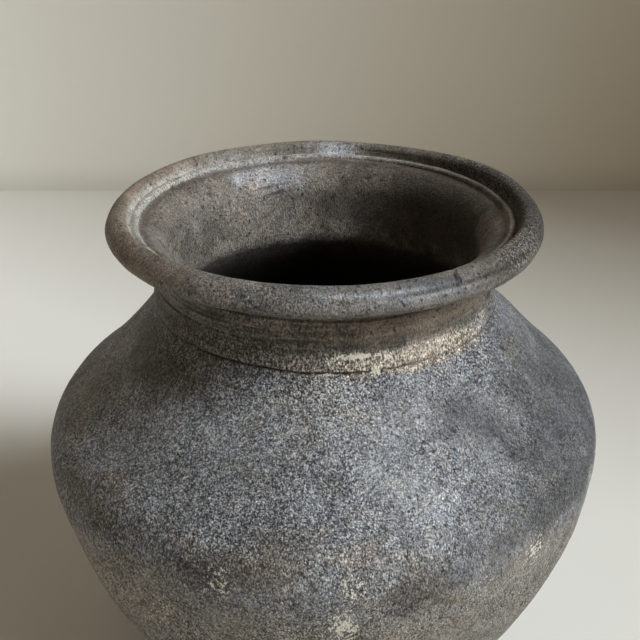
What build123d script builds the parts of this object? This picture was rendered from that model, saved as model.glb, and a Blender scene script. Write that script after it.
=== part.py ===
"""A hand-built smoked clay pot: a wide olla with a full belly, a short neck and a rolled rim.

The pot is raised from ten sections of clay, each luted to the next on a bevelled lap seam.
Every section is a solid of revolution about +Z. The origin is the centre of the flat foot.
Sizes are in millimetres, and an outline's points are (radius, height).
"""

import os
from math import asin, degrees, radians, sin

from build123d import *

# Body
BELLY_RADIUS = 117.3  # outside, at the widest
BELLY_HEIGHT = 108.5
SHOULDER_ARC = 28.0  # the turn above the belly
SHOULDER_LEAN = 48.5  # degrees from upright, where the turn hands over to the shoulder
FLANK_ARC = 60.0  # the turn just below the belly
FLANK_TURN = 8.0  # degrees
LOWER_ARC = 200.0  # the long, nearly straight lower wall
BASE_ARC = 56.0  # the soft corner that rolls under to the flat foot
WALL = 7.5

# Neck
SHOULDER_TOP = (69.8, 170.4)  # where the shoulder stops, under the neck's fillet
NECK_FOOT = (68.6, 177.4)
NECK_TOP = (67.4, 190.5)
FILLET_PROUD = 0.5  # how far the fillet stands out beyond its chord
FILLET_ROOT = (66.4, 171.4)  # the corner of neck and shoulder that the fillet covers
THROAT = (61.2, 169.0)  # inside, where the shoulder and the bore would meet in a corner
THROAT_ARC = 10.0

# Rim
RIM_UNDERSIDE = (80.0, 199.6)
RIM_OUTERMOST = (86.0, 204.6)
RIM_CREST = (81.2, 210.0)
RIM_INNER_SIDE = (78.0, 206.9)
CHANNEL_SIDE = (77.7, 205.6)
RIDGE_SIDE = (75.9, 204.9)
RIDGE_TOP = (74.9, 205.4)
RIDGE_INSIDE = (73.4, 203.8)
BORE_TOP = (62.8, 190.5)  # where the bore starts to flare out to the ridge

# Lap seams between the sections. Each is placed by its outer end, as the share of a stretch of wall.
BASE_SEAM = 0.5  # on the base corner, from its top
FOOT_SEAM = 0.85  # on the lower wall, from its top
LOWER_SEAM = 0.5  # on the lower wall
FLANK_SEAM = 0.1  # on the lower wall
BELLY_SEAM = 0.35  # on the shoulder's turn, from the belly
TURN_SEAM = 0.25  # on the shoulder, from its turn
LAP = 7.0  # how much further down the wall each seam runs on its inner face
COLLAR_SEAM_INSIDE = 166.0  # the height where the collar's seam comes out in the throat
RIM_SEAM = ((63.6, 193.0), (70.2, 194.6))  # its inner end and its outer end
SEAM_OVERRUN = 3.0  # how far a seam's cutting line runs on past each face of the wall


def body_outline(inset):
    """The body's outline from the foot's centre to the shoulder's turn, moved inwards by inset."""
    widest = (BELLY_RADIUS - inset, BELLY_HEIGHT)
    # The lower wall leans in until the base corner lands flat on the foot.
    drop = BELLY_HEIGHT - BASE_ARC + (LOWER_ARC - FLANK_ARC) * sin(radians(FLANK_TURN))
    base_lean = degrees(asin(drop / (LOWER_ARC - BASE_ARC)))
    flank = JernArc(widest, (0, -1), FLANK_ARC - inset, -FLANK_TURN)
    lower = JernArc(flank @ 1, flank % 1, LOWER_ARC - inset, FLANK_TURN - base_lean)
    corner = JernArc(lower @ 1, lower % 1, BASE_ARC - inset, base_lean - 90)
    foot = Line(corner @ 1, (0, inset))
    turn = JernArc(widest, (0, 1), SHOULDER_ARC - inset, SHOULDER_LEAN)
    return {"foot": foot, "corner": corner, "lower": lower, "flank": flank, "turn": turn}


def shoulder_outline(turn):
    """The shoulder's slightly hollow outside, from its turn up to the neck's fillet."""
    return TangentArc(turn @ 1, SHOULDER_TOP, tangent=turn % 1)


def neck_fillet_outline(shoulder_top):
    """The raised band over the corner of neck and shoulder."""
    middle = (shoulder_top + Vector(*NECK_FOOT)) / 2
    across = Vector(*NECK_FOOT) - shoulder_top
    proud = middle + Vector(across.Y, -across.X).normalized() * FILLET_PROUD
    return ThreePointArc(shoulder_top, proud, NECK_FOOT)


def rim_outline():
    """The rolled rim, from the neck's top over the crest and the ridge to the top of the bore."""
    flare = TangentArc(NECK_TOP, RIM_UNDERSIDE, tangent=Vector(*NECK_TOP) - Vector(*NECK_FOOT))
    under = TangentArc(flare @ 1, RIM_OUTERMOST, tangent=flare % 1)
    face = TangentArc(under @ 1, RIM_CREST, tangent=under % 1)
    crest = TangentArc(face @ 1, RIM_INNER_SIDE, tangent=face % 1)
    side = Line(crest @ 1, CHANNEL_SIDE)
    channel = TangentArc(side @ 1, RIDGE_SIDE, tangent=side % 1)
    ridge = ThreePointArc(RIDGE_SIDE, RIDGE_TOP, RIDGE_INSIDE)
    bore_flare = TangentArc(BORE_TOP, RIDGE_INSIDE, tangent=(0, 1))
    return [flare, under, face, crest, side, channel, ridge, bore_flare]


def seam_below(inner_end, outer_end):
    """Everything lower than a seam, as a face that reaches past the wall on both sides."""
    wide = BELLY_RADIUS * 2
    overrun = (outer_end - inner_end).normalized() * SEAM_OVERRUN
    inside, outside = inner_end - overrun, outer_end + overrun
    corners = [(0, -wide), (wide, -wide), (wide, outside.Y), outside, inside, (0, inside.Y)]
    return make_face(Polyline(*corners, close=True))


def lap_seam(outer, inner, share, lap):
    """A seam from this share of the outer stretch to a point further on, on the inner stretch."""
    return inner @ (share + lap / inner.length), outer @ share


def sections():
    """Each clay section's outline as a face, from the foot up."""
    outer, inner = body_outline(0), body_outline(WALL)
    shoulder = shoulder_outline(outer["turn"])
    fillet = neck_fillet_outline(shoulder @ 1)
    bore = FilletPolyline(inner["turn"] @ 1, THROAT, BORE_TOP, radius=THROAT_ARC)
    outside = [*outer.values(), shoulder, fillet, Line(NECK_FOOT, NECK_TOP), *rim_outline()]
    inside = [Line((0, 0), (0, WALL)), *inner.values(), *bore.edges()]
    wall = make_face(outside + inside)

    cover = make_face([fillet, Line(NECK_FOOT, FILLET_ROOT), Line(FILLET_ROOT, shoulder @ 1)])
    seams = [
        lap_seam(outer["corner"], inner["corner"], BASE_SEAM, LAP),
        lap_seam(outer["lower"], inner["lower"], FOOT_SEAM, LAP),
        lap_seam(outer["lower"], inner["lower"], LOWER_SEAM, LAP),
        lap_seam(outer["lower"], inner["lower"], FLANK_SEAM, LAP),
        lap_seam(outer["turn"], inner["turn"], BELLY_SEAM, -LAP / 2),
        lap_seam(shoulder, Line(inner["turn"] @ 1, THROAT), TURN_SEAM, -LAP),
        (Vector(THROAT[0], COLLAR_SEAM_INSIDE), Vector(*FILLET_ROOT)),
        (Vector(*RIM_SEAM[0]), Vector(*RIM_SEAM[1])),
    ]
    rest = wall - cover
    faces = []
    for inner_end, outer_end in seams:
        below = seam_below(inner_end, outer_end)
        faces.append(rest & below)
        rest = rest - below
    return [*faces, rest, cover]


NAMES = [
    "base_pat",
    "foot_coil",
    "lower_coil",
    "flank_coil",
    "belly_coil",
    "upper_belly_coil",
    "shoulder_coil",
    "neck_collar",
    "rim_coil",
    "neck_fillet",
]


os.makedirs("parts", exist_ok=True)
for name, face in zip(NAMES, sections()):
    ring = revolve(Plane.XZ * face, Axis.Z)
    ring.label = name
    export_step(ring, f"parts/{name}.step")
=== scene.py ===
"""Looks of a hand-built smoked clay pot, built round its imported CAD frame.

The pot's skin is one grid: rows along the wall's section, columns round the pot. Each clay section
takes its own rows of that grid, so that neighbouring sections meet point for point. The section is
worked out in millimetres, and the meshes are in metres. Azimuths are in degrees round the pot: -90 is
its front, 0 its right. Colours are linear red, green and blue.
"""

from itertools import product
from math import asin, atan, atan2, cos, degrees, hypot, pi, radians, sin, tan
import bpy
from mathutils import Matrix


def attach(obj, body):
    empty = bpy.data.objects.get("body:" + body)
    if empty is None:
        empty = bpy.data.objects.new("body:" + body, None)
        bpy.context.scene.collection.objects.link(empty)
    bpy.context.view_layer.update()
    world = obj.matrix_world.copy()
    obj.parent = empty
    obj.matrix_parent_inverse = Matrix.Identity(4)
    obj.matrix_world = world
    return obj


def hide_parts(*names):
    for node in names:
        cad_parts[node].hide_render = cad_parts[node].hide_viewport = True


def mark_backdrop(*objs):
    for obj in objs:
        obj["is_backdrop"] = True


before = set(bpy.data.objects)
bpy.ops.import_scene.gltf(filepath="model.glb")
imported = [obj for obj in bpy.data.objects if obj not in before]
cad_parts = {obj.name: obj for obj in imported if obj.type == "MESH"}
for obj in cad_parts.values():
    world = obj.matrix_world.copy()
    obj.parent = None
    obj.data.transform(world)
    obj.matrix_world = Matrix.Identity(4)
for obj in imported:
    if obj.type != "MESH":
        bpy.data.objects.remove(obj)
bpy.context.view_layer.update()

from types import SimpleNamespace

import bpy
import numpy as np
from mathutils import Vector

MM = 0.001
COLUMNS = 720  # grid columns round the pot

# The section, as in the CAD model: points are (radius, height)
BELLY = (117.3, 108.5)
SHOULDER_ARC, SHOULDER_LEAN = 28.0, 48.5
FLANK_ARC, FLANK_TURN = 60.0, 8.0
LOWER_ARC, BASE_ARC = 200.0, 56.0
WALL = 7.5
SHOULDER_TOP = (69.8, 170.4)
NECK_FOOT = (68.6, 177.4)
NECK_TOP = (67.4, 190.5)
FILLET_PROUD = 0.5
FILLET_ROOT = (66.4, 171.4)
THROAT = (61.2, 169.0)
THROAT_ARC = 10.0
RIM_UNDERSIDE = (80.0, 199.6)
RIM_OUTERMOST = (86.0, 204.6)
RIM_CREST = (81.2, 210.0)
RIM_INNER_SIDE = (78.0, 206.9)
CHANNEL_SIDE = (77.7, 205.6)
RIDGE_SIDE = (75.9, 204.9)
RIDGE_PROUD = 0.86
RIDGE_INSIDE = (73.4, 203.8)
BORE_TOP = (62.8, 190.5)

# Seams between the clay sections, as shares of a stretch of wall counted from its top
LAP = 7.0
BASE_SEAM, FOOT_SEAM, LOWER_SEAM, FLANK_SEAM = 0.5, 0.85, 0.5, 0.1
BELLY_SEAM, TURN_SEAM = 0.35, 0.25  # these two are counted from the belly upwards
RIM_SEAM_OUTSIDE, RIM_SEAM_INSIDE = 0.27, 0.85  # on the flare, and on the bore's flare


# ---------------------------------------------------------------- the section

class Pen:
    """Draws the section as a row of points, with the clay always on the left of its way.

    A step is about how far apart the points of a stretch lie, in millimetres.
    """

    def __init__(self, start, heading):
        self.at = start
        self.heading = heading
        self.points = [start]
        self.marks = {}

    def mark(self, name):
        self.marks[name] = len(self.points) - 1

    def arc(self, radius, turn, step):
        """Turns left by this many degrees, or right if it is negative."""
        side = 1 if turn > 0 else -1
        start = radians(self.heading)
        cx, cy = self.at[0] - side * radius * sin(start), self.at[1] + side * radius * cos(start)
        rows = max(2, round(radius * abs(radians(turn)) / step))
        for k in range(1, rows + 1):
            angle = start + radians(turn) * k / rows
            self.points.append((cx + side * radius * sin(angle), cy - side * radius * cos(angle)))
        self.at = self.points[-1]
        self.heading += turn

    def line_to(self, point, step):
        dx, dy = point[0] - self.at[0], point[1] - self.at[1]
        rows = max(1, round(hypot(dx, dy) / step))
        x, y = self.at
        self.points += [(x + dx * k / rows, y + dy * k / rows) for k in range(1, rows + 1)]
        self.at = point
        self.heading = degrees(atan2(dy, dx))

    def chord(self, point):
        """The length of the way to a point, and how far left of the heading it lies, in degrees."""
        dx, dy = point[0] - self.at[0], point[1] - self.at[1]
        return hypot(dx, dy), (degrees(atan2(dy, dx)) - self.heading + 180) % 360 - 180

    def arc_to(self, point, step, share=1.0):
        """An arc that leaves along the heading and comes to this point, or part of the way."""
        length, off = self.chord(point)
        self.arc(length / (2 * sin(radians(abs(off)))), 2 * off * share, step)

    def arc_into(self, point, heading, step, share=1.0):
        """An arc to this point that arrives with this heading, or part of the way."""
        length, off = self.chord(point)
        self.heading += off
        self.heading -= (heading - self.heading + 180) % 360 - 180
        self.arc_to(point, step, share)

    def bulge_to(self, point, proud, step):
        """An arc to this point that stands out to the right by this much."""
        length, off = self.chord(point)
        self.heading += off - 2 * degrees(atan(2 * proud / length))
        self.arc_to(point, step)


def base_lean():
    """The lower wall's lean where the base corner starts, in degrees, as in the CAD model."""
    drop = BELLY[1] - BASE_ARC + (LOWER_ARC - FLANK_ARC) * sin(radians(FLANK_TURN))
    return degrees(asin(drop / (LOWER_ARC - BASE_ARC)))


def foot_radius():
    """The flat foot's radius."""
    lean, turn = radians(base_lean()), radians(FLANK_TURN)
    lower_end = BELLY[0] - FLANK_ARC * (1 - cos(turn)) - LOWER_ARC * (cos(turn) - cos(lean))
    return lower_end - BASE_ARC * cos(lean)


def draw_outside(pen):
    """From the foot's centre up to the neck's fillet."""
    lean = base_lean()
    pen.line_to((foot_radius(), 0), 4.0)
    pen.arc(BASE_ARC, (90 - lean) * (1 - BASE_SEAM), 1.4)
    pen.mark("base out")
    pen.arc(BASE_ARC, (90 - lean) * BASE_SEAM, 1.3)
    below = 1.0
    for name, share in (("foot", FOOT_SEAM), ("lower", LOWER_SEAM), ("flank", FLANK_SEAM), ("", 0)):
        pen.arc(LOWER_ARC, (lean - FLANK_TURN) * (below - share), 1.0)
        below = share
        if name:
            pen.mark(name + " out")
    pen.arc(FLANK_ARC, FLANK_TURN, 0.9)
    pen.arc(SHOULDER_ARC, SHOULDER_LEAN * BELLY_SEAM, 0.9)
    pen.mark("belly out")
    pen.arc(SHOULDER_ARC, SHOULDER_LEAN * (1 - BELLY_SEAM), 0.9)
    pen.arc_to(SHOULDER_TOP, 0.9, TURN_SEAM)
    pen.mark("turn out")
    pen.arc_to(SHOULDER_TOP, 0.8, 0.8)
    pen.arc_to(SHOULDER_TOP, 0.3)
    pen.mark("shoulder out")


def draw_neck_and_rim(pen):
    """From the neck's fillet over the rim to the top of the bore."""
    pen.bulge_to(NECK_FOOT, FILLET_PROUD, 0.3)
    pen.mark("neck out")
    pen.line_to(NECK_TOP, 0.3)
    pen.arc_to(RIM_UNDERSIDE, 0.4, RIM_SEAM_OUTSIDE)
    pen.mark("rim out")
    pen.arc_to(RIM_UNDERSIDE, 0.5)
    pen.arc_to(RIM_OUTERMOST, 0.5)
    pen.arc_to(RIM_CREST, 0.45)
    pen.arc_to(RIM_INNER_SIDE, 0.4)
    pen.line_to(CHANNEL_SIDE, 0.45)
    pen.arc_to(RIDGE_SIDE, 0.35)
    pen.mark("channel")
    pen.bulge_to(RIDGE_INSIDE, RIDGE_PROUD, 0.3)
    pen.mark("ridge")
    pen.arc_into(BORE_TOP, -90, 0.5, RIM_SEAM_INSIDE)
    pen.mark("rim in")
    pen.arc_to(BORE_TOP, 0.5)


def draw_inside(pen):
    """From the top of the bore down to the middle of the floor."""
    lean = base_lean()
    turn_arc, shoulder = SHOULDER_ARC - WALL, radians(SHOULDER_LEAN)
    turn_end = (BELLY[0] - WALL - turn_arc * (1 - cos(shoulder)), BELLY[1] + turn_arc * sin(shoulder))
    down = atan2(turn_end[1] - THROAT[1], turn_end[0] - THROAT[0])
    bore = atan2(THROAT[1] - BORE_TOP[1], THROAT[0] - BORE_TOP[0])
    trim = THROAT_ARC * tan((down - bore) / 2)
    pen.line_to((THROAT[0] - trim * cos(bore), THROAT[1] - trim * sin(bore)), 0.5)
    pen.arc(THROAT_ARC, degrees(down - bore) / 2, 0.8)
    pen.mark("neck in")
    pen.arc(THROAT_ARC, degrees(down - bore) / 2, 0.8)
    cone = hypot(turn_end[0] - THROAT[0], turn_end[1] - THROAT[1])
    seam = cone * TURN_SEAM - LAP
    pen.line_to((turn_end[0] - seam * cos(down), turn_end[1] - seam * sin(down)), 2.0)
    pen.mark("turn in")
    pen.line_to(turn_end, 2.0)
    pen.heading = SHOULDER_LEAN - 90
    seam = BELLY_SEAM - LAP / 2 / (turn_arc * shoulder)
    pen.arc(turn_arc, -SHOULDER_LEAN * (1 - seam), 2.0)
    pen.mark("belly in")
    pen.arc(turn_arc, -SHOULDER_LEAN * seam, 2.0)
    pen.arc(FLANK_ARC - WALL, -FLANK_TURN, 2.5)
    above, lower_arc = 0.0, LOWER_ARC - WALL
    lower_length = lower_arc * radians(lean - FLANK_TURN)
    for name, share in (("flank", FLANK_SEAM), ("lower", LOWER_SEAM), ("foot", FOOT_SEAM), ("", 1)):
        share = min(1, share + LAP / lower_length)
        pen.arc(lower_arc, -(lean - FLANK_TURN) * (share - above), 2.5)
        above = share
        if name:
            pen.mark(name + " in")
    corner = BASE_ARC - WALL
    seam = BASE_SEAM + LAP / (corner * radians(90 - lean))
    pen.arc(corner, -(90 - lean) * seam, 2.0)
    pen.mark("base in")
    pen.arc(corner, -(90 - lean) * (1 - seam), 2.0)
    pen.line_to((0, WALL), 4.0)


# ---------------------------------------------------------------- noise

def scramble(cell, seed):
    """A repeatable random 32-bit number for each lattice cell."""
    x, y, z = (cell[..., k].astype(np.uint32) for k in range(3))
    n = x * np.uint32(73856093) ^ y * np.uint32(19349663) ^ z * np.uint32(83492791)
    n = (n ^ np.uint32(seed * 7919 + 17)) * np.uint32(2246822519)
    n = (n ^ (n >> np.uint32(15))) * np.uint32(3266489917)
    return n ^ (n >> np.uint32(13))


def fractions(number):
    """Three numbers from 0 to 1 out of each 32-bit one."""
    ten_bits = np.uint32(1023)
    return [((number >> np.uint32(shift)) & ten_bits) / 1023.0 for shift in (0, 10, 20)]


SEED_SHIFT = 0.37  # sets the lattices of two seeds apart
NOISE_GAIN = 1.7  # brings the noise's peaks to about 1


def noise(points, size, seed):
    """Smooth noise from about -1 to 1, with lumps of about this size."""
    q = points / size + SEED_SHIFT * seed
    cell = np.floor(q).astype(np.int64)
    inside = q - cell
    ease = inside ** 3 * (inside * (inside * 6 - 15) + 10)
    total = np.zeros(q.shape[:-1])
    for corner in product((0, 1), repeat=3):
        offset = np.array(corner)
        slope = fractions(scramble(cell + offset, seed))
        weight = np.prod(np.where(offset == 1, ease, 1 - ease), axis=-1)
        away = inside - offset
        total += weight * sum((2 * g - 1) * away[..., k] for k, g in enumerate(slope))
    return total * NOISE_GAIN


SMALLEST_PIT, PIT_SPREAD = 0.14, 0.26  # radii, as shares of a cell


def pits(points, size, share, seed):
    """Round pits, one to a cell in this share of the cells: 0.4 to 1.4 at a pit's middle."""
    q = points / size
    cell = np.floor(q - 0.5).astype(np.int64)
    deepest = np.zeros(q.shape[:-1])
    for corner in product((0, 1), repeat=3):
        here = cell + np.array(corner)
        number = scramble(here, seed)
        jitter = np.stack(fractions(number), -1)
        chance, width, _ = fractions(scramble(here, seed + 1))
        distance = np.linalg.norm(q - here - 0.25 - 0.5 * jitter, axis=-1)
        radius = SMALLEST_PIT + PIT_SPREAD * width ** 2
        bowl = np.clip(1 - (distance / radius) ** 2, 0, 1) * (chance < share)
        deepest = np.maximum(deepest, bowl * (0.4 + width))
    return deepest


def step_up(value, low, high):
    """0 below low, 1 above high, and smooth between."""
    t = np.clip((value - low) / (high - low), 0, 1)
    return t * t * (3 - 2 * t)


def hump(value, middle, width):
    """A bell curve, 1 at its middle."""
    return np.exp(-((value - middle) / width) ** 2)


# ---------------------------------------------------------------- the skin

WEAR_ROUNDS = 34  # rounds of smoothing
WEAR_STARTS = (-24, -4)  # rows from the shoulder's end, where the wear fades in
WEAR_ENDS = (26, 44)  # rows from the rim's seam, where it fades out


def eased(section, marks):
    """The section with its corners worn soft, from the top of the shoulder to the rim's bead."""
    row = np.arange(len(section))
    share = step_up(row - marks["shoulder out"], *WEAR_STARTS)
    share *= 1 - step_up(row - marks["rim out"], *WEAR_ENDS)
    for _ in range(WEAR_ROUNDS):
        middle = (section[:-2] + 2 * section[1:-1] + section[2:]) / 4
        section[1:-1] += share[1:-1, None] * (middle - section[1:-1])
    return section


class Skin:
    """The whole skin as a grid: rows along the section and columns round the pot."""

    def __init__(self):
        pen = Pen((0, 0), 0)
        draw_outside(pen)
        draw_neck_and_rim(pen)
        draw_inside(pen)
        self.marks = pen.marks
        section = eased(np.array(pen.points), pen.marks)
        way = np.gradient(section, axis=0)
        way /= np.linalg.norm(way, axis=1, keepdims=True)
        steps = np.linalg.norm(np.diff(section, axis=0), axis=1)
        self.along = np.concatenate([[0], np.cumsum(steps)])[:, None]
        self.radius, self.height = section[:, :1], section[:, 1:]
        self.out, self.up = way[:, 1:], -way[:, :1]  # the skin's normal
        self.angle = np.arange(COLUMNS)[None] * 2 * pi / COLUMNS
        self.points = self.turned(self.radius, self.height)
        self.ring = self.turned(1.0, 0.0)  # a unit ring, for noise that only varies round the pot
        self.row = np.arange(len(section))[:, None]
        self.outside = self.row <= self.marks["channel"]

    def turned(self, radius, height):
        """Section points turned round the axis into grid points."""
        x, y = radius * np.cos(self.angle), radius * np.sin(self.angle)
        return np.stack([x, y, np.broadcast_to(height, x.shape)], -1)

    def way_along(self, radius, height):
        """How far along the section its nearest point to this one is."""
        gap = np.hypot(self.radius - radius, self.height - height)
        return self.along[np.argmin(gap), 0]

    def degrees_off(self, azimuth):
        """Each column's angle from this azimuth, from -180 to 180 degrees."""
        return (np.degrees(self.angle) - azimuth + 180) % 360 - 180

    def facing(self, azimuth, width):
        """1 at this azimuth, fading over about this many degrees to either side."""
        return hump(self.degrees_off(azimuth), 0, width)

    def across(self, azimuth):
        """How far round the skin each grid point is from this azimuth, in millimetres."""
        return np.radians(self.degrees_off(azimuth)) * self.radius

    def mark_at(self, azimuth, radius, height, wide, tall, slant=0.0):
        """A soft oval mark, 1 at its middle. Wide is round the pot, tall along the section."""
        u, v = self.across(azimuth), self.along - self.way_along(radius, height)
        c, s = cos(radians(slant)), sin(radians(slant))
        return np.exp(-((u * c + v * s) / wide) ** 2 - ((v * c - u * s) / tall) ** 2)


skin = Skin()


STREAK_LENGTH = 22  # how many times as long as wide a wiping streak is


def hand_lines(size, seed):
    """Streaks that run round the pot, as wiping with wet hands leaves them."""
    stretched = skin.turned(skin.radius / STREAK_LENGTH, skin.along)
    return noise(stretched, size, seed)


def ridge_share():
    """How far across the ridge inside the rim each row is: 0 at its outer side, 1 at its inner."""
    start, end = skin.marks["channel"], skin.marks["ridge"]
    return (skin.row - start) / (end - start)


def left_of_rim():
    """The left of the rim, where the channel inside it is rubbed almost level, with a painted highlight.
    """
    return skin.facing(170, 56)


def wiped():
    """The band of neck and flare where the wiping streaks are strong."""
    return step_up(skin.height, 172, 180) * (1 - step_up(skin.height, 199, 204)) * skin.outside


SCORED_AT = 171.2  # heights in millimetres
LEDGE_AT = 178.0
WIPING_AT = (181.6, 186.2, 190.4)
LINE_WIDTH = 0.45  # of the scored line and of each wiping groove


def scored_line():
    """The line scored under the neck's fillet, with its wobble and its faint stretches."""
    wobble = 0.6 * noise(skin.ring, 0.3, 11) + 0.5 * noise(skin.ring, 0.09, 17)
    wobble -= 0.5 * np.sin(skin.angle + 0.9)
    strength = 0.55 + 0.5 * noise(skin.ring, 0.5, 12) + 0.9 * skin.facing(-108, 30)
    line = hump(skin.height, SCORED_AT + wobble, LINE_WIDTH)
    return np.clip(strength, 0.08, 1.2) * line * skin.outside


def fillet_ledge():
    """The step back above the fillet's upper edge, which only shows towards the front right."""
    towards = skin.facing(-58, 34)
    edge = LEDGE_AT + 0.25 * np.sin(3 * skin.angle)
    above = step_up(skin.height, edge - 0.25, edge + 0.35) * (1 - step_up(skin.height, edge + 1, edge + 7))
    return towards * above * skin.outside


def bead_groove():
    """The groove that a fingernail left along the front of the bead."""
    off = skin.along - skin.way_along(85.2, 206.9) - 0.5 * noise(skin.points, 14, 13)
    return hump(off, 0, 0.9) * skin.facing(-50, 22)


def wiping_grooves():
    """Three dark lines that wet fingers left round the neck, each fading in and out."""
    lines = np.zeros(skin.points.shape[:-1])
    for seed, height in enumerate(WIPING_AT, 14):
        wander = height + 0.7 * noise(skin.ring, 0.6, seed)
        strength = np.clip(0.9 + 0.9 * noise(skin.ring, 0.35, seed + 60), 0, 1)
        lines = np.maximum(lines, strength * hump(skin.height, wander, LINE_WIDTH))
    return lines * skin.outside


def nick():
    """The slit across the bead at the front right."""
    off = skin.along - skin.way_along(83.2, 209.2)
    return hump(skin.across(-57.5) - 0.18 * off, 0, 0.85) * hump(off, 0, 3.0)


# Depth, then where: azimuth, radius, height, width, length along the section, slant
TOOL_MARKS = (
    (1.0, 104, 74.4, 204.6, 1.3, 1.4, 0),  # the notch in the ridge
    (0.8, 97, 70.5, 202.4, 2.6, 0.5, -14),  # a scratch under the ridge
    (0.5, 112, 64.0, 195.0, 9.0, 0.7, 6),  # two gouges in the bore
    (0.5, 110, 63.2, 192.0, 7.0, 0.7, 6),
)
POCKS = ((72, 198, 1.3), (68, 195, 1.0), (76, 193, 1.1), (62, 202, 1.0), (140, 197, 1.2))
POCK_DEPTH, BORE_RADIUS = 0.6, 66.0


def tool_marks():
    """Scratches, gouges and pocks, as depths in millimetres."""
    depth = sum(deep * skin.mark_at(*where) for deep, *where in TOOL_MARKS)
    for azimuth, height, size in POCKS:
        depth += POCK_DEPTH * skin.mark_at(azimuth, BORE_RADIUS, height, size, size)
    return depth


def worn_side():
    """The right of the rim, where the surface has flaked away to a coarse pitted one."""
    rim = step_up(skin.height, 202, 206)
    return rim * step_up(skin.degrees_off(0), -52, -30) * (1 - step_up(skin.degrees_off(0), 28, 60))


def pushed_lip():
    """How far the rim's right side is pushed outwards, in millimetres."""
    return step_up(skin.radius, 76.5, 84) * (1.5 * skin.facing(26, 26) + 0.4 * skin.facing(-20, 22))


LUMPS = ((58, 0.34, 1), (25, 0.2, 2), (9, 0.09, 3), (4, 0.06, 4))  # size, height and seed
STREAKS = ((1.5, 0.02, 0.12, 5), (3.6, 0.04, 0.16, 6))  # size, height, more where wiped, seed
PITS = ((4.6, 0.12, 0.34, 7), (2.9, 0.35, 0.16, 8))  # cell, share of the cells, depth, seed
FLAKES = (2.4, 0.7, 9)  # cell, share and seed of the worn side's pits
FLAKE_DEPTH = 0.16
SCORED_DEPTH, LEDGE_DEPTH, BEAD_GROOVE_DEPTH, NICK_DEPTH, WIPING_DEPTH = 0.7, 0.55, 0.8, 1.8, 0.45
FOOT_FLAT = 5  # the height up to which the marks fade in, above the flat foot


def relief():
    """How far each grid point stands out from the turned section, in millimetres."""
    points = skin.points
    out = sum(height * noise(points, size, seed) for size, height, seed in LUMPS)
    for size, height, more, seed in STREAKS:
        out += (height + more * wiped()) * hand_lines(size, seed)
    for size, share, depth, seed in PITS:
        out -= depth * pits(points, size, share, seed)
    out -= FLAKE_DEPTH * pits(points, *FLAKES) * worn_side()
    out -= SCORED_DEPTH * scored_line() + LEDGE_DEPTH * fillet_ledge() + WIPING_DEPTH * wiping_grooves()
    out -= BEAD_GROOVE_DEPTH * bead_groove() + NICK_DEPTH * nick() + tool_marks()
    out += 0.5 * hump(ridge_share(), 0.45, 0.4) + left_of_rim() * hump(ridge_share(), -0.35, 0.5)
    out += pushed_lip()
    on_foot = (1 - step_up(skin.height, 0, FOOT_FLAT)) * skin.outside
    return out * (1 - on_foot)


LEAN_HEIGHTS = (0, 50, 85, 104, 118, 133, 160, 173, 182, 215)
LEAN_RIGHT = (-0.8, -0.8, 0.0, -0.8, 0.0, 1.3, 1.3, 0.3, 0.0, 0.0)
SWAY, SWAY_LENGTH = 0.5, 34


def settle(points):
    """Points in metres, off the axis as the wall wandered while it was built, and none below 0."""
    points = points.copy()
    height = points[..., 2]
    points[..., 0] += np.interp(height, LEAN_HEIGHTS, LEAN_RIGHT)
    points[..., 1] += SWAY * np.sin(height / SWAY_LENGTH)
    points[..., 2] = np.maximum(points[..., 2], 0)
    return points * MM


def shaped():
    """The grid's final points, in metres."""
    normal = np.stack([skin.out * np.cos(skin.angle), skin.out * np.sin(skin.angle),
                       np.broadcast_to(skin.up, (len(skin.up), COLUMNS))], -1)
    return settle(skin.points + normal * relief()[..., None])


# ---------------------------------------------------------------- patina and painted light

SLATE = (0.158, 0.163, 0.170)
ASH = (0.205, 0.210, 0.218)
CHARCOAL = (0.064, 0.064, 0.067)
BROWN = (0.105, 0.090, 0.069)
UMBER = (0.075, 0.060, 0.044)
CLOVE = (0.158, 0.138, 0.117)
EARTH = (0.190, 0.171, 0.142)
TAN = (0.365, 0.315, 0.258)
# near black: dark wiping streaks, and painted shade in the grooves, marks and deep bore
SOOT_AND_SHADE = (0.014, 0.012, 0.010)
# pale: wear on the ridge, and a painted highlight on the rim's left and along the ridge
RUBBED_AND_LIT = (0.340, 0.325, 0.300)
# a painted highlight, bluish
PAINTED_HIGHLIGHT = (0.520, 0.550, 0.590)

# Tints of single patches, on the outside and then in the bore
BLUE_GREY = (0.185, 0.193, 0.205)
PALE_GREY = (0.225, 0.231, 0.240)
BRIGHT_GREY = (0.310, 0.320, 0.335)
CLEAR_GREY = (0.250, 0.260, 0.275)
WARM_GREY = (0.215, 0.212, 0.205)
SAND_GREY = (0.220, 0.212, 0.200)
DARK_GREY = (0.085, 0.086, 0.090)
DUSK_GREY = (0.105, 0.102, 0.098)
BUFF = (0.200, 0.165, 0.138)
PALE_BUFF = (0.215, 0.182, 0.155)
SAND = (0.230, 0.200, 0.165)
RUST = (0.160, 0.118, 0.085)
TAWNY = (0.145, 0.110, 0.080)
CHESTNUT = (0.170, 0.130, 0.098)
DRAB = (0.132, 0.126, 0.117)
PEAT = (0.080, 0.070, 0.056)
GREY_PEAT = (0.075, 0.068, 0.058)
LAMP_BLACK = (0.045, 0.040, 0.034)
BORE_HIGHLIGHT = (0.290, 0.285, 0.290)
BORE_BUFF = (0.200, 0.172, 0.150)
BORE_UMBER = (0.085, 0.068, 0.050)
BORE_DRAB = (0.125, 0.110, 0.095)
BORE_SHADE = (0.044, 0.034, 0.025)
BORE_DUSK = (0.062, 0.050, 0.039)
BORE_EARTH = (0.140, 0.120, 0.098)
BORE_PEAT = (0.080, 0.070, 0.058)

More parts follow.
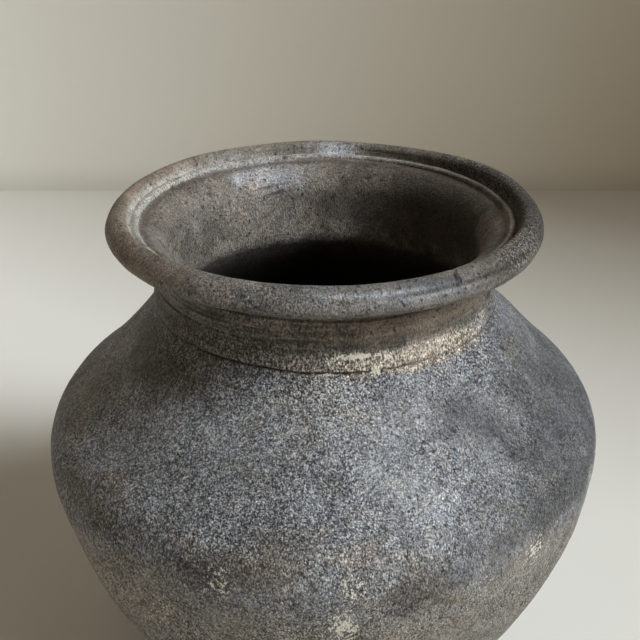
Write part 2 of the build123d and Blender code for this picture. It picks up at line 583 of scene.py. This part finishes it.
# Azimuth, height, half width in degrees, half height, colour, strength, seed
OUTSIDE_BLOTCHES = (
    # The next four are partly ash and partly a painted highlight on the front of the body
    (-74, 150, 9, 12, BLUE_GREY, 0.6, 31),
    (-73, 131, 12, 9, PALE_GREY, 0.85, 65),
    (-70, 134, 8, 7, BRIGHT_GREY, 0.8, 70),
    (-79, 149, 4, 9, CLEAR_GREY, 0.7, 72),
    # The next two are partly dark patina and partly painted shade right of the front
    (-53, 152, 10, 10, DARK_GREY, 0.8, 73),
    (-46, 122, 9, 9, DUSK_GREY, 0.75, 74),
    (-99, 121, 5, 3, BUFF, 0.6, 75),
    (-84, 124, 6, 4, PALE_BUFF, 0.6, 76),
    (-136, 128, 5, 4, RUST, 0.6, 77),
    (-106, 136, 22, 14, SLATE, 0.7, 66),
    (-142, 148, 14, 11, ASH, 0.8, 32),
    # The next two are partly dark patina and partly painted shade on the body's right
    (-18, 136, 34, 19, CHARCOAL, 0.75, 33),
    (-40, 118, 24, 7, CHARCOAL, 0.8, 34),
    (-106, 117, 9, 8, UMBER, 0.7, 35),
    (-73, 108, 9, 10, UMBER, 0.75, 36),
    (-142, 117, 15, 7, BROWN, 0.7, 37),
    (-168, 140, 14, 14, EARTH, 0.8, 38),
    (-126, 93, 10, 16, EARTH, 0.9, 39),
    (-50, 104, 12, 9, EARTH, 0.7, 40),
    (-18, 110, 9, 6, TAN, 0.5, 41),
    (-146, 164, 28, 9, PEAT, 0.85, 42),
    (-70, 164, 14, 8, ASH, 0.8, 43),
    (-58, 174, 30, 5, TAN, 1.0, 44),
    (-140, 174, 26, 6, UMBER, 0.9, 45),
    (-150, 158, 15, 9, GREY_PEAT, 0.7, 78),
    (-92, 160, 16, 9, WARM_GREY, 0.7, 79),
    (-78, 119, 13, 4, SAND_GREY, 0.6, 80),
    (-96, 173, 12, 5, EARTH, 0.7, 46),
    (-52, 186, 36, 7, TAWNY, 0.8, 47),
    (-96, 127, 7, 4, BROWN, 0.5, 48),
    (-178, 206, 60, 9, CHESTNUT, 0.85, 49),
    (-85, 206, 42, 9, DRAB, 0.8, 50),
    (-66, 207.5, 9, 3, CHARCOAL, 0.85, 81),
    (-48, 206, 10, 3, UMBER, 0.7, 82),
    (-132, 82, 16, 16, SAND, 0.8, 83),
    # partly a dark worn surface and partly painted shade on the rim's right
    (8, 206, 38, 9, LAMP_BLACK, 0.95, 51),
    (100, 207, 40, 9, EARTH, 0.8, 52),
    (50, 120, 30, 24, CHARCOAL, 0.7, 53),
    (120, 138, 24, 16, SLATE, 0.8, 54),
    (150, 96, 22, 16, TAN, 0.5, 55),
    (95, 84, 26, 14, BROWN, 0.7, 56),
)

INSIDE_BLOTCHES = (
    # a painted highlight on the bore's back left
    (114, 200, 18, 8, BORE_HIGHLIGHT, 0.95, 57),
    (126, 188, 22, 9, BORE_BUFF, 0.7, 67),
    (72, 198, 14, 14, BORE_UMBER, 0.8, 68),
    (58, 202, 12, 8, BORE_DRAB, 0.6, 69),
    # painted shade on the bore's right wall, out of the light
    (34, 192, 36, 24, BORE_SHADE, 1.0, 58),
    (76, 184, 26, 10, BORE_DUSK, 0.9, 71),
    (172, 200, 26, 10, BORE_EARTH, 0.6, 59),
    (150, 178, 20, 9, BORE_PEAT, 0.7, 60),
)


def laid_over(under, colour, amount):
    """One colour laid over the patina by an amount from 0 to 1 at each grid point."""
    amount = np.clip(amount, 0, 1)[..., None]
    return under * (1 - amount) + np.array(colour) * amount


def blotch(azimuth, height, wide, tall, seed):
    """A ragged-edged patch: wide in degrees and tall in millimetres, from its middle each way."""
    off = np.hypot(skin.degrees_off(azimuth) / wide, (skin.height - height) / tall)
    off = off + 0.4 * noise(skin.points, 15, seed) + 0.28 * noise(skin.points, 5, seed + 1)
    return 1 - step_up(off, 0.5, 1.3)


def blotched(colour, blotches, share):
    """The patina with these patches on it, over this share of the skin."""
    for azimuth, height, wide, tall, tone, amount, seed in blotches:
        colour = laid_over(colour, tone, amount * share * blotch(azimuth, height, wide, tall, seed))
    return colour


def outside_colour():
    """The outside's broad colours: earth below, slate above, brown at the neck, painted light on the
    front.
    """
    points, height = skin.points, skin.height
    cloud = noise(points, 42, 21) + 0.5 * noise(points, 17, 22)
    warm = noise(points, 30, 23) + 0.6 * noise(points, 11, 24)
    colour = np.ones(points.shape) * np.array(SLATE)
    colour = laid_over(colour, CHARCOAL, 0.3 * step_up(cloud, 0.1, 0.9))
    colour = laid_over(colour, ASH, 0.5 * step_up(-cloud, 0.1, 0.9))
    colour = laid_over(colour, BROWN, 0.5 * step_up(warm, 0.2, 0.9))
    colour = laid_over(colour, EARTH, 0.9 * (1 - step_up(height + 10 * warm, 88, 116)))
    colour = laid_over(colour, BROWN, 0.9 * step_up(height + 2 * warm, 171, 180))
    colour = laid_over(colour, EARTH, 0.6 * wiped() * step_up(-hand_lines(1.5, 10), 0.05, 0.5))
    colour = laid_over(colour, SOOT_AND_SHADE, 0.7 * wiped() * step_up(hand_lines(1.3, 27), 0.05, 0.45))
    # painted shade in the wiping grooves
    colour = laid_over(colour, SOOT_AND_SHADE, 0.7 * wiping_grooves())
    streaks = step_up(height, 200, 203) * step_up(hand_lines(2.2, 18), -0.1, 0.5)
    colour = laid_over(colour, SLATE, 0.55 * streaks * skin.facing(-80, 50))
    # painted light: the body's front is brightened, as if more light fell on it
    lit_front = skin.facing(-80, 37) * hump(height, 147, 37)
    return colour * (0.96 + 0.66 * lit_front)[..., None]


def inside_colour():
    """The inside's broad colours: brown at the mouth, and painted shade, near black, from the neck down.
    """
    points, height = skin.points, skin.height
    cloud = noise(points, 20, 25) + 0.5 * noise(points, 8, 26)
    speckle = noise(points, 6, 29) + 0.6 * noise(points, 3, 30)
    colour = np.ones(points.shape) * np.array(CLOVE)
    colour = laid_over(colour, BROWN, 0.6 * step_up(cloud, 0.0, 0.8))
    colour = laid_over(colour, ASH, 0.4 * step_up(speckle, 0.1, 0.8))
    colour = laid_over(colour, UMBER, 0.7 * step_up(-speckle, 0.3, 0.8))
    # painted shade deep in the bore
    colour = laid_over(colour, SOOT_AND_SHADE, 0.92 * (1 - step_up(height + 3 * cloud, 148, 176)))
    return colour


def channel_and_ridge(colour):
    """The patina inside the rim: a channel in painted shade, and a ridge partly rubbed, partly painted
    lit.
    """
    ridge = ridge_share()
    left = left_of_rim()
    # painted shade in the channel, which faces away from the light everywhere but on the left
    colour = laid_over(colour, UMBER, 0.75 * (1 - left) * hump(ridge, -0.5, 0.35))
    # painted highlight on the left, where the channel and the ridge face the light
    lit_left_band = left * step_up(ridge, -1.5, -0.5) * (1 - step_up(ridge, 0.9, 1.1))
    colour = laid_over(colour, RUBBED_AND_LIT, 0.9 * lit_left_band)
    # the ridge's pale crest: partly wear, partly a painted highlight, strongest at the back
    worn = 0.6 + 0.4 * skin.facing(90, 30) - 0.3 * skin.facing(10, 50)
    colour = laid_over(colour, RUBBED_AND_LIT, worn * hump(ridge, 0.5, 0.4))
    # painted highlight in the channel at the back
    colour = laid_over(colour, PAINTED_HIGHLIGHT, skin.facing(86, 6) * hump(ridge, -0.7, 0.8))
    # painted shade in the crease at the ridge's inner foot
    return laid_over(colour, UMBER, 0.8 * hump(ridge, 1.4, 0.3))


def front_of_bead(colour):
    """The patina with painted highlights on the bead's front, and dark just above the fingernail groove.
    """
    crest = hump(skin.along, skin.way_along(84.6, 208.4), 1.2) * skin.facing(-76, 14)
    # painted highlights along the crest and below the groove
    colour = laid_over(colour, PAINTED_HIGHLIGHT, 0.35 * crest)
    above_groove = hump(skin.along, skin.way_along(83.8, 209.0), 1.3) * skin.facing(-59, 9)
    colour = laid_over(colour, CHARCOAL, 0.75 * above_groove)
    below_groove = hump(skin.along, skin.way_along(85.8, 205.8), 0.8) * skin.facing(-62, 13)
    return laid_over(colour, PAINTED_HIGHLIGHT, 0.35 * below_groove)


def patina():
    """The clay's colour at each grid point: smoke-grey, brown earth, ash, soot, painted light and shade.
    """
    colour = np.where(skin.outside[..., None], outside_colour(), inside_colour())
    colour = blotched(colour, OUTSIDE_BLOTCHES, skin.outside)
    colour = blotched(colour, INSIDE_BLOTCHES, ~skin.outside)
    colour = front_of_bead(channel_and_ridge(colour))
    # painted shade in the scored line, the ledge, the bead's groove, the nick and the tool marks
    dark = 1.2 * np.clip(scored_line(), 0, 1) + 0.5 * fillet_ledge() + bead_groove() + 1.4 * nick()
    return laid_over(colour, SOOT_AND_SHADE, 0.75 * np.clip(dark + 1.4 * tool_marks(), 0, 1.25))


# Azimuth, radius, height, half width, half length along the section, strength
DEPOSITS = (
    (-80, 69.5, 177.4, 9.0, 1.1, 1.5),
    (-71, 69.8, 176.2, 2.4, 1.8, 1.2),
    (-75, 70.0, 171.2, 1.8, 2.2, 1.4),
    (-88, 69.9, 170.6, 9.0, 0.5, 0.8),
    (-52, 69.5, 175.5, 18.0, 2.4, 0.5),
    (-86.5, 115.0, 95.5, 6.5, 9.0, 0.97),
    (-85, 116.0, 115.0, 8.0, 7.0, 0.62),
    (-108, 117.0, 111.0, 6.5, 8.5, 0.64),
    (-48, 117.0, 107.0, 6.0, 10.0, 0.68),
    (-60, 117.0, 106.0, 6.0, 4.0, 0.4),
    (40, 116.0, 92.0, 10.0, 9.0, 0.8),
    (170, 117.0, 112.0, 8.0, 12.0, 0.7),
)


def deposits():
    """How thickly pale lime has come out of the clay, from 0 up."""
    pale = np.zeros(skin.points.shape[:-1])
    for azimuth, radius, height, wide, tall, amount in DEPOSITS:
        pale = np.maximum(pale, amount * skin.mark_at(azimuth, radius, height, wide, tall))
    return pale * skin.outside


INSIDE_GRIT = 0.12


def grit():
    """How coarse and speckled the surface is, from 0 to 1."""
    amount = 0.5 + 0.38 * noise(skin.points, 30, 28) + 0.3 * skin.facing(-112, 34)
    amount -= 0.3 * skin.facing(-64, 20) + 0.5 * step_up(skin.height, 177, 183)
    amount += worn_side() + 0.5 * hump(skin.height, 170, 9) * skin.facing(-55, 40)
    return np.clip(np.where(skin.outside, amount, INSIDE_GRIT), 0, 1)


def shine():
    """Where rubbing has burnished the clay, from 0 to 1."""
    outside = 0.8 * blotch(-72, 138, 14, 20, 61) + 0.6 * blotch(-60, 208, 26, 3, 63)
    outside += 0.8 * blotch(86, 208, 12, 6, 64)
    inside = 0.7 * blotch(116, 198, 24, 9, 62)
    return np.clip(0.9 * hump(ridge_share(), 0.2, 0.9) + np.where(skin.outside, outside, inside), 0, 1)


# ---------------------------------------------------------------- the clay's material

class Shader:
    """A material's node tree, with short ways to add and join nodes."""

    def __init__(self, name):
        self.material = bpy.data.materials.new(name)
        self.material.use_nodes = True
        self.tree = self.material.node_tree
        self.tree.nodes.clear()

    def node(self, kind, inputs=(), **settings):
        """Adds a node. An input's value is a number, a colour, or another node's socket."""
        made = self.tree.nodes.new("ShaderNode" + kind)
        for name, value in settings.items():
            setattr(made, name, value)
        pairs = inputs.items() if isinstance(inputs, dict) else enumerate(inputs)
        for key, value in pairs:
            self.feed(made.inputs[key], value)
        return made

    def feed(self, socket, value):
        """Joins another node's socket to this one, or sets it to a number or a colour."""
        if isinstance(value, bpy.types.NodeSocket):
            self.tree.links.new(value, socket)
        else:
            socket.default_value = value

    def math(self, operation, *values):
        return self.node("Math", values, operation=operation).outputs[0]

    def vector(self, operation, *values):
        return self.node("VectorMath", values, operation=operation).outputs[0]

    def scaled(self, value, low, high, to_low=0.0, to_high=1.0, smooth=False):
        kind = "SMOOTHSTEP" if smooth else "LINEAR"
        inputs = {"Value": value, "From Min": low, "From Max": high, "To Min": to_low, "To Max": to_high}
        return self.node("MapRange", inputs, interpolation_type=kind).outputs[0]

    def blend(self, way, amount, first, second):
        mixer = self.node("Mix", data_type="RGBA", blend_type=way)
        for socket, value in ((0, amount), (6, first), (7, second)):  # its factor and two colours
            self.feed(mixer.inputs[socket], value)
        return mixer.outputs[2]

    def painted(self, name, output="Fac"):
        """A layer of the paint on the mesh."""
        return self.node("Attribute", attribute_name=name).outputs[output]

    def noise(self, place, scale, detail, roughness):
        inputs = {"Vector": place, "Scale": scale, "Detail": detail, "Roughness": roughness}
        return self.node("TexNoise", inputs).outputs[0]


# How many grains, hollows and clouds there are to a metre
GRAINS, FINE_GRAINS, COARSE_GRAINS = 1250.0, 1700.0, 480.0
BENDS, HOLLOWS, WARM_CLOUDS, MOTTLING = 800.0, 760.0, 210.0, 95.0
GRAIN_STRETCH = (1.0, 1.0, 0.68)  # the grain stands a little taller than wide
BEND_LENGTH = 0.0016
GRAIN_RELIEF = 0.0007

COOL_TINT, WARM_TINT = (0.965, 1.0, 1.035, 1), (1.05, 1.0, 0.94, 1)
HOLLOW_COLOUR = (0.012, 0.011, 0.010, 1)
PALE_GRAIN = (0.85, 0.84, 0.81, 1)
LIME_COLOUR = (0.82, 0.76, 0.64, 1)


def clay_grain(s):
    """The grain that the clay's colour, gloss and relief share."""
    place = s.vector("MULTIPLY", s.node("TexCoord").outputs["Object"], GRAIN_STRETCH)
    bend = s.node("TexNoise", {"Vector": place, "Scale": BENDS, "Detail": 2.0}).outputs["Color"]
    bend = s.vector("SUBTRACT", bend, (0.5, 0.5, 0.5))
    bend = s.node("VectorMath", {0: bend, "Scale": BEND_LENGTH}, operation="SCALE").outputs[0]
    bent = s.vector("ADD", place, bend)
    grain = s.node("TexVoronoi", {"Vector": bent, "Scale": GRAINS, "Randomness": 1.0})
    fate = s.node("SeparateColor", {"Color": grain.outputs["Color"]}).outputs[0]
    fine = s.scaled(s.noise(place, FINE_GRAINS, 2.0, 0.7), 0.35, 0.65, -0.6, 0.5, smooth=True)
    scatter = s.math("ADD", fate, s.math("MULTIPLY", fine, 0.45))
    lime = s.math("ADD", scatter, s.math("MULTIPLY", s.painted("lime"), 1.15))
    return SimpleNamespace(
        place=place,
        grit=s.painted("grit"),
        fate=fate,  # one random number to a grain
        crown=s.scaled(grain.outputs["Distance"], 0.0, 0.8, 1.0, 0.0),  # 1 at a grain's middle
        fine=fine,
        coarse=s.noise(place, COARSE_GRAINS, 2.0, 0.6),
        hollow=s.scaled(s.noise(bent, HOLLOWS, 2.0, 0.6), 0.40, 0.33, smooth=True),
        crust=s.scaled(lime, 1.32, 1.46, smooth=True),
    )


def grain_tone(s, grain):
    """The grain's light and dark, as a grey that the patina is multiplied by."""
    shade = s.math("ADD", grain.fine, s.scaled(grain.crown, 0.1, 0.9, -0.3, 0.3))
    shade = s.math("ADD", shade, s.scaled(grain.fate, 0.0, 1.0, -0.35, 0.35))
    shade = s.math("MULTIPLY", shade, s.scaled(grain.grit, 0.0, 1.0, 0.30, 1.15))
    mottle = s.noise(grain.place, MOTTLING, 4.0, 0.7)
    shade = s.math("ADD", shade, s.scaled(mottle, 0.3, 0.7, 0.94, 1.34))
    tone = s.math("POWER", s.math("MAXIMUM", shade, 0.25), 2.0)
    return s.node("CombineColor", (tone, tone, tone)).outputs[0]


def clay_colour(s, grain):
    """The patina with its grain, dark hollows, pale grains and lime crust."""
    patina_colour = s.painted("patina", "Color")
    warmth = s.scaled(s.noise(grain.place, WARM_CLOUDS, 3.0, 0.6), 0.35, 0.65)
    tint = s.blend("MIX", warmth, COOL_TINT, WARM_TINT)
    colour = s.blend("MULTIPLY", 1.0, s.blend("MULTIPLY", 1.0, patina_colour, grain_tone(s, grain)), tint)
    colour = s.blend("MIX", s.math("MULTIPLY", grain.hollow, 0.8), colour, HOLLOW_COLOUR)
    chosen = s.scaled(s.math("ADD", grain.fate, s.scaled(grain.grit, 0.4, 1.0, -0.02, 0.06)), 0.985, 1.0)
    pale_grain = s.math("MULTIPLY", chosen, s.scaled(grain.crown, 0.35, 0.6, smooth=True))
    pale = s.blend("MIX", 0.25, patina_colour, PALE_GRAIN)
    colour = s.blend("MIX", s.math("MULTIPLY", pale_grain, 0.8), colour, pale)
    return s.blend("MIX", s.math("MULTIPLY", grain.crust, 0.96), colour, LIME_COLOUR)


def clay_roughness(s, grain):
    """Matt clay, duller in the lime and glossier where it is burnished."""
    crust = s.math("MULTIPLY", grain.crust, 0.15)
    roughness = s.math("ADD", s.scaled(grain.coarse, 0.3, 0.7, 0.55, 0.72), crust)
    return s.math("SUBTRACT", roughness, s.math("MULTIPLY", s.painted("shine"), 0.22))


def clay_bump(s, grain):
    """The grain's relief: raised grains and crust, and sunken hollows."""
    height = s.math("ADD", s.math("MULTIPLY", grain.fine, 0.5), s.math("MULTIPLY", grain.crown, 0.6))
    height = s.math("MULTIPLY", height, s.scaled(grain.grit, 0.0, 1.0, 0.6, 1.2))
    height = s.math("ADD", height, s.math("MULTIPLY", grain.coarse, 0.5))
    height = s.math("SUBTRACT", height, s.math("MULTIPLY", grain.hollow, 0.8))
    height = s.math("ADD", height, s.math("MULTIPLY", grain.crust, 0.4))
    return s.node("Bump", {"Strength": 0.9, "Distance": GRAIN_RELIEF, "Height": height}).outputs[0]


def smoked_clay():
    """Gritty, smoke-blackened clay: patina from the mesh, grain and pits from noise."""
    s = Shader("smoked_clay")
    grain = clay_grain(s)
    looks = {"Base Color": clay_colour(s, grain), "Roughness": clay_roughness(s, grain),
             "Normal": clay_bump(s, grain)}
    s.node("OutputMaterial", {"Surface": s.node("BsdfPrincipled", looks).outputs[0]})
    return s.material


# ---------------------------------------------------------------- the clay sections

def ring_of(radius, height):
    """A ring of hidden points inside the wall, in metres."""
    return settle(skin.turned(np.array([[radius]]), np.array([[height]])))


LAYERS = ("lime", "grit", "shine")
PAINTS = 3 + len(LAYERS)  # red, green and blue, and then the layers


class Piece:
    """One closed clay section, as rings joined one after the other and back to the first."""

    def __init__(self, name, *stretches, poles=()):
        self.name = name
        self.rings = np.concatenate([points for points, _ in stretches])
        self.paint = np.concatenate([paint for _, paint in stretches])
        self.poles = poles  # (height in millimetres, ring number) for each closed middle
        ends = np.cumsum([len(points) for points, _ in stretches])
        self.hard_rings = sorted({0, *ends[:-1], *(ends - 1)})

    def faces(self):
        """Corner numbers and corner counts of all faces."""
        count = len(self.rings)
        last = count - 1 if self.poles else count
        i, j = np.meshgrid(np.arange(last), np.arange(COLUMNS), indexing="ij")
        k, m = (i + 1) % count, (j + 1) % COLUMNS
        quads = np.stack([i * COLUMNS + j, i * COLUMNS + m, k * COLUMNS + m, k * COLUMNS + j], -1)
        corners, counts = [quads.reshape(-1)], [np.full(quads[..., 0].size, 4)]
        j = np.arange(COLUMNS)
        m = (j + 1) % COLUMNS
        for n, (_, ring) in enumerate(self.poles):
            pole = np.full(COLUMNS, count * COLUMNS + n)
            pair = (m, j) if ring == 0 else (j, m)
            fan = np.stack([ring * COLUMNS + pair[0], ring * COLUMNS + pair[1], pole], -1)
            corners.append(fan.reshape(-1))
            counts.append(np.full(COLUMNS, 3))
        return np.concatenate(corners), np.concatenate(counts)

    def build(self, material):
        points = self.rings.reshape(-1, 3)
        paint = self.paint.reshape(-1, PAINTS)
        for height, ring in self.poles:
            points = np.vstack([points, [0, 0, height * MM]])
            paint = np.vstack([paint, self.paint[ring].mean(0)])
        corners, counts = self.faces()
        mesh = bpy.data.meshes.new(self.name)
        mesh.vertices.add(len(points))
        mesh.vertices.foreach_set("co", points.astype(np.float32).ravel())
        mesh.loops.add(len(corners))
        mesh.loops.foreach_set("vertex_index", corners.astype(np.int32))
        mesh.polygons.add(len(counts))
        starts = np.concatenate([[0], np.cumsum(counts)[:-1]])
        mesh.polygons.foreach_set("loop_start", starts.astype(np.int32))
        mesh.update(calc_edges=True)
        mesh.shade_smooth()
        self.harden(mesh)
        rgba = np.column_stack([paint[:, :3], np.ones(len(paint))]).astype(np.float32)
        mesh.attributes.new("patina", "FLOAT_COLOR", "POINT").data.foreach_set("color", rgba.ravel())
        for column, title in enumerate(LAYERS, 3):
            layer = mesh.attributes.new(title, "FLOAT", "POINT")
            layer.data.foreach_set("value", paint[:, column].astype(np.float32))
        mesh.materials.append(material)
        made = bpy.data.objects.new(self.name, mesh)
        bpy.context.scene.collection.objects.link(made)
        return made

    def harden(self, mesh):
        """Keeps the shading of the skin apart from that of the seam faces."""
        ends = np.zeros(len(mesh.edges) * 2, np.int32)
        mesh.edges.foreach_get("vertices", ends)
        rings = ends.reshape(-1, 2) // COLUMNS
        hard = (rings[:, 0] == rings[:, 1]) & np.isin(rings[:, 0], self.hard_rings)
        flag = mesh.attributes.get("sharp_edge") or mesh.attributes.new("sharp_edge", "BOOLEAN", "EDGE")
        flag.data.foreach_set("value", hard)


def clay_sections():
    """Every section, with its stretch of the outside and its stretch of the inside."""
    points = shaped()
    paint = np.concatenate([patina(), np.stack([deposits(), grit(), shine()], -1)], -1)
    marks = skin.marks

    def rows(start, end):
        return points[start:end + 1], paint[start:end + 1]

    root_ring = ring_of(*FILLET_ROOT)
    root = root_ring, np.ones((1, COLUMNS, PAINTS)) * np.array([*UMBER, 0, 0, 0])
    last = len(points) - 1
    names = ("base", "foot", "lower", "flank", "belly", "turn")
    middles = ((0, 0), (WALL, marks["base out"] + last - 1 - marks["base in"]))
    under, over = rows(1, marks["base out"]), rows(marks["base in"], last - 1)
    pieces = [Piece("clay_base_pat", under, over, poles=middles)]
    titles = ("foot_coil", "lower_coil", "flank_coil", "belly_coil", "upper_belly_coil")
    for title, below, above in zip(titles, names, names[1:]):
        outer = rows(marks[below + " out"], marks[above + " out"])
        inner = rows(marks[above + " in"], marks[below + " in"])
        pieces.append(Piece("clay_" + title, outer, inner))
    outer = rows(marks["turn out"], marks["shoulder out"])
    pieces.append(Piece("clay_shoulder_coil", outer, root, rows(marks["neck in"], marks["turn in"])))
    pieces.append(Piece("clay_neck_fillet", rows(marks["shoulder out"], marks["neck out"]), root))
    outer = rows(marks["neck out"], marks["rim out"])
    pieces.append(Piece("clay_neck_collar", outer, rows(marks["rim in"], marks["neck in"]), root))
    pieces.append(Piece("clay_rim_coil", rows(marks["rim out"], marks["rim in"])))
    return pieces


clay = smoked_clay()
for piece in clay_sections():
    made = piece.build(clay)
    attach(made, "root")
    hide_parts(piece.name.removeprefix("clay_"))


# ---------------------------------------------------------------- floor, light and camera

STAGE_REACH = 4.0
WALL_BEHIND = 0.60
WALL_HEIGHT = 2.5
FOOT_SHADE_HEIGHT = 0.032
LIT_HEIGHT = 0.12  # the height that the lights are placed round


def paper(name, lit_colour, shaded_colour, towards, start, end, foot_shade=1.0):
    """Plain paper: its lit colour turns into painted shade along a direction, and its foot is shaded."""
    s = Shader(name)
    place = s.node("TexCoord").outputs["Object"]
    way = s.node("VectorMath", (place, towards), operation="DOT_PRODUCT").outputs["Value"]
    cloud = s.math("MULTIPLY", s.noise(place, 3.0, 3.0, 0.5), 0.06)
    share = s.scaled(s.math("ADD", way, cloud), start, end)
    shade = s.blend("MIX", share, (*lit_colour, 1), (*shaded_colour, 1))
    height = s.node("SeparateXYZ", (place,)).outputs[2]
    foot = s.scaled(height, 0.0, FOOT_SHADE_HEIGHT, foot_shade, 1.0, smooth=True)
    shade = s.blend("MULTIPLY", 1.0, shade, s.node("CombineColor", (foot, foot, foot)).outputs[0])
    surface = s.node("BsdfPrincipled", {"Base Color": shade, "Roughness": 0.8})
    s.node("OutputMaterial", {"Surface": surface.outputs[0]})
    return s.material


def stage_sheet(name, outline, material):
    """A wide sheet that runs from left to right, with this outline of (y, z) points."""
    mesh = bpy.data.meshes.new(name)
    corners = [(side * STAGE_REACH, y, z) for y, z in outline for side in (-1, 1)]
    mesh.from_pydata(corners, [], [(k, k + 1, k + 3, k + 2) for k in range(0, len(corners) - 2, 2)])
    mesh.materials.append(material)
    made = bpy.data.objects.new(name, mesh)
    bpy.context.scene.collection.objects.link(made)
    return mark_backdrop(made)


def soft_light(name, azimuth, elevation, distance, size, power, colour, target, spread):
    """A square area light, placed by its direction from the pot and turned towards the target."""
    a, e = radians(azimuth), radians(elevation)
    away = Vector((cos(a) * cos(e), sin(a) * cos(e), sin(e)))
    data = bpy.data.lights.new(name, "AREA")
    data.shape = "SQUARE"
    data.size, data.energy, data.color, data.spread = size, power, colour, radians(spread)
    made = bpy.data.objects.new(name, data)
    made.location = Vector((0, 0, LIT_HEIGHT)) + away * distance
    made.rotation_euler = (made.location - Vector(target)).to_track_quat("Z", "Y").to_euler()
    bpy.context.scene.collection.objects.link(made)


# Painted light falloff: the floor darkens towards the back right, the backdrop towards the right
floor = paper("pale_floor", lit_colour=(0.715, 0.70, 0.655), shaded_colour=(0.32, 0.285, 0.225),
              towards=(0.7, 1.0, 0.0), start=0.21, end=0.75)
backdrop = paper("pale_backdrop", lit_colour=(0.84, 0.83, 0.75), shaded_colour=(0.375, 0.305, 0.210),
                 towards=(1.0, 0.0, -0.25), start=-0.36, end=0.44, foot_shade=0.84)
stage_sheet("floor", [(-STAGE_REACH, 0), (WALL_BEHIND, 0)], floor)
stage_sheet("backdrop", [(WALL_BEHIND, 0), (WALL_BEHIND, WALL_HEIGHT)], backdrop)

soft_light("key", azimuth=-34, elevation=37, distance=2.0, size=1.8, power=14.6,
           colour=(0.90, 0.955, 1.0), target=(-0.3, -0.27, 0.0), spread=37)
soft_light("fill", azimuth=-110, elevation=40, distance=1.6, size=1.2, power=1.6,
           colour=(1.0, 0.93, 0.82), target=(0, 0, 0.1), spread=180)

ROOM_COLOUR = (1.0, 0.74, 0.46, 1)
ROOM_STRENGTH = 0.135
world = bpy.data.worlds.new("room_light")
world.use_nodes = True
room = world.node_tree.nodes["Background"]
room.inputs["Color"].default_value = ROOM_COLOUR
room.inputs["Strength"].default_value = ROOM_STRENGTH
bpy.context.scene.world = world
bpy.context.scene.view_settings.view_transform = "Standard"

CAMERA_AT = (-0.0014, -0.3763, 0.3488)
LOOKING_DOWN = 27.04  # degrees below level
SENSOR, LENS = 36.0, 56.25
camera_data = bpy.data.cameras.new("camera")
camera_data.sensor_width, camera_data.lens = SENSOR, LENS
camera = bpy.data.objects.new("camera", camera_data)
camera.location = CAMERA_AT
camera.rotation_euler = (radians(90 - LOOKING_DOWN), 0, 0)
bpy.context.scene.collection.objects.link(camera)
bpy.context.scene.camera = camera
